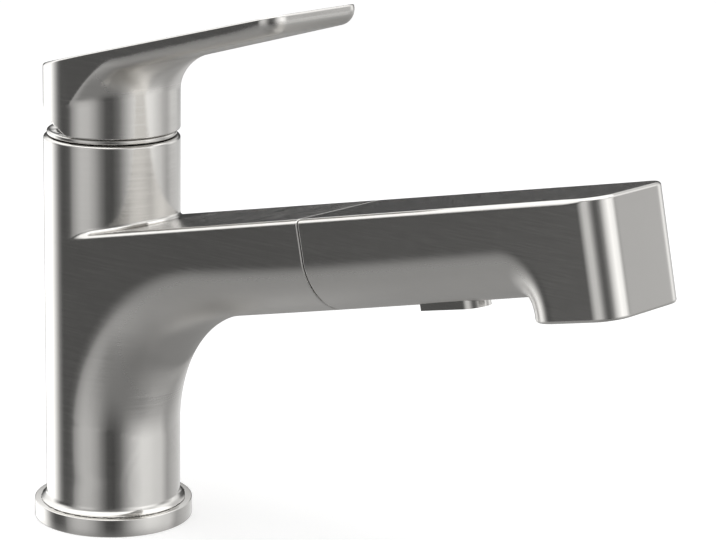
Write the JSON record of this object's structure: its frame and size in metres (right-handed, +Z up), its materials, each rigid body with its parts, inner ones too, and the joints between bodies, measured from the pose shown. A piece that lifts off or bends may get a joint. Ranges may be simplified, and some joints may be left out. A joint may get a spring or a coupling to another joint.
{
  "type": "pull-out kitchen faucet",
  "caption": "Single-lever kitchen faucet with a round column, an up-tilted swivel spout and a pull-out two-mode spray wand.",
  "frame": {"origin": "centre of the deck ring's lower face, on the column's axis", "axes": "+Z up along the column, +X out along the spout at rest, +Y to the spout's left seen from behind the column"},
  "size_m": [0.2593, 0.0566, 0.2793],
  "materials": {
    "brushed_nickel": "satin brushed nickel plating",
    "brass": "machined brass",
    "copper": "drawn copper tube",
    "steel": "plain stainless steel",
    "ceramic": "lapped ceramic",
    "white_plastic": "moulded white acetal",
    "grey_plastic": "moulded grey plastic",
    "blue_plastic": "moulded blue plastic",
    "rubber": "black rubber",
    "nozzle_rubber": "grey silicone"
  },
  "bodies": {
    "post": {"base_ring": "brushed_nickel", "base_gasket": "rubber", "shank": "brass", "valve_body": "brass", "hot_tube": "copper", "cold_tube": "copper", "outlet_tube": "copper", "lower_glide_ring": "white_plastic", "upper_glide_ring": "white_plastic", "swivel_stop": "steel", "cartridge_housing": "white_plastic", "cartridge_seals": "rubber", "fixed_disc": "ceramic", "cartridge_nut": "brass", "trim_ring": "brushed_nickel"},
    "spout": {"faucet_body": "brushed_nickel", "spout_arm": "brushed_nickel", "dock_sleeve": "grey_plastic"},
    "wand": {"wand_shell": "brushed_nickel", "dock_collar": "grey_plastic", "inlet_connector": "brass", "filter_washer": "rubber", "check_valve": "blue_plastic", "waterway_tube": "white_plastic", "diverter_body": "grey_plastic", "spray_former": "grey_plastic", "spray_face": "grey_plastic", "nozzle_pad": "nozzle_rubber", "aerator_housing": "brushed_nickel", "aerator_insert": "white_plastic", "aerator_seal": "rubber", "button_pin": "steel"},
    "button": {"spray_button": "brushed_nickel", "button_spring": "steel"},
    "spool": {"diverter_spool": "white_plastic"},
    "carrier": {"stem_carrier": "white_plastic", "pivot_pin": "steel"},
    "disc": {"moving_disc": "ceramic", "disc_driver": "white_plastic"},
    "lever": {"lever_handle": "brushed_nickel", "lever_stem": "steel", "set_screw": "steel", "screw_plug": "brushed_nickel"}
  },
  "joints": [
    {"name": "spout_swivel", "type": "hinge", "parent": "post", "child": "spout", "pos_m": [0, 0, 0.05], "axis": [0, 0, 1], "range_deg": [-60, 60]},
    {"name": "wand_pull", "type": "slide", "parent": "spout", "child": "wand", "axis": [0.9774, 0, 0.2113], "range_m": [0, 0.45]},
    {"name": "button_press", "type": "hinge", "parent": "wand", "child": "button", "pos_m": [0.14176, 0, 0.11096], "axis": [0, -1, 0], "range_deg": [0, 4.5], "stiffness_Nm_per_rad": 0.12, "springref_deg": -20.05},
    {"name": "spool_slide", "type": "slide", "parent": "wand", "child": "spool", "axis": [0.9774, 0, 0.2113], "range_m": [0, 0.0023]},
    {"name": "temperature_turn", "type": "hinge", "parent": "post", "child": "carrier", "pos_m": [0, 0, 0.139], "axis": [0, 0, 1], "range_deg": [-45, 45]},
    {"name": "lever_lift", "type": "hinge", "parent": "carrier", "child": "lever", "pos_m": [0, 0, 0.139], "axis": [0, -1, 0], "range_deg": [0, 22]},
    {"name": "disc_slide", "type": "slide", "parent": "carrier", "child": "disc", "axis": [1, 0, 0], "range_m": [0, 0.0052]}
  ],
  "couplings": [
    {"joint": "spool_slide", "follows": "button_press", "m_per_rad": 0.028},
    {"joint": "disc_slide", "follows": "lever_lift", "m_per_rad": 0.013}
  ]
}
